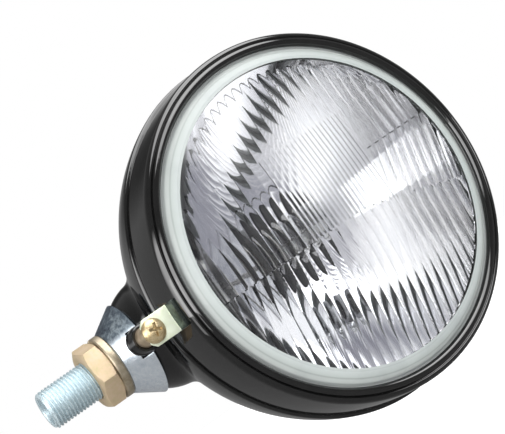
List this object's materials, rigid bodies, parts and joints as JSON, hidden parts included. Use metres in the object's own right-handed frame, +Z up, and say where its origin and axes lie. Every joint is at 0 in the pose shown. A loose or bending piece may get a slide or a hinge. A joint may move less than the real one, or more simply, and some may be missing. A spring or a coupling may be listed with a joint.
{
  "type": "tractor headlight",
  "caption": "Round side-mounted tractor headlamp: black pressed bowl and rim, fluted glass, reflector and bulbs, on a ball swivel clamped by a hollow threaded stud.",
  "frame": {"origin": "centre of the swivel cup's outer clamping face, on the axis of the hollow stud", "axes": "+Z up, the lamp shines along -Y and the stud points towards -X, leaning back 12 degrees"},
  "size_m": [0.1943, 0.0961, 0.152],
  "materials": {
    "stud_zinc": "pale blue zinc plating, satin, rolled thread",
    "nut_zinc": "yellow passivated zinc plating with pink and green tints",
    "spring_bronze": "bronze-brown tempered spring steel",
    "cup_zinc": "clear zinc plating, satin, faintly mottled",
    "washer_zinc": "clear zinc plating",
    "black_paint": "gloss black enamel on pressed steel",
    "tab_zinc": "pale yellow-green zinc plating",
    "screw_zinc": "yellow passivated zinc plating",
    "bush_steel": "brown phosphated steel",
    "lens_glass": "clear pressed glass with a faint green edge",
    "mirror_aluminium": "vacuum aluminised and lacquered",
    "rubber": "matt black rubber",
    "spring_steel": "bright spring steel",
    "bulb_metal": "nickelled sheet",
    "bulb_glass": "clear glass",
    "tungsten": "drawn tungsten and molybdenum wire",
    "contact_brass": "tinned brass",
    "connector_plastic": "moulded off-white plastic",
    "holder_steel": "plated sheet"
  },
  "bodies": {
    "mount": {"hollow_stud": "stud_zinc", "lock_nut": "nut_zinc", "spring_washer": "spring_bronze"},
    "socket": {"swivel_cup": "cup_zinc", "ball_washer": "washer_zinc"},
    "housing": {"bowl": "black_paint", "screw_bracket": "black_paint", "threaded_bush": "bush_steel"},
    "light_unit": {"rim": "black_paint", "rim_tab": "tab_zinc", "rim_screw": "screw_zinc", "rim_hook": "black_paint", "bowl_seal": "rubber", "lens": "lens_glass", "lens_seal": "rubber", "reflector": "mirror_aluminium", "retaining_clips": "spring_steel", "bulb_collar": "bulb_metal", "bulb_base": "bulb_metal", "bulb_socket_ring": "bulb_metal", "bulb_glass": "bulb_glass", "filament_supports": "tungsten", "main_filament": "tungsten", "dip_filament": "tungsten", "dip_shield": "bulb_metal", "bulb_blades": "contact_brass", "connector_block": "connector_plastic", "bulb_spring": "spring_steel", "rubber_boot": "rubber", "side_light_holder": "holder_steel", "side_light_bulb": "bulb_glass"}
  },
  "joints": [
    {"name": "aim_pitch", "type": "hinge", "parent": "mount", "child": "socket", "pos_m": [0.02426, -0.00516, 0], "axis": [-0.9781, 0.2079, 0], "range_deg": [-180, 180]},
    {"name": "aim_yaw", "type": "hinge", "parent": "socket", "child": "housing", "pos_m": [0.02426, -0.00516, 0], "axis": [0, 0, 1], "range_deg": [-12, 12]},
    {"name": "rim_release", "type": "slide", "parent": "housing", "child": "light_unit", "axis": [0, -1, 0], "range_m": [0, 0.09]}
  ]
}
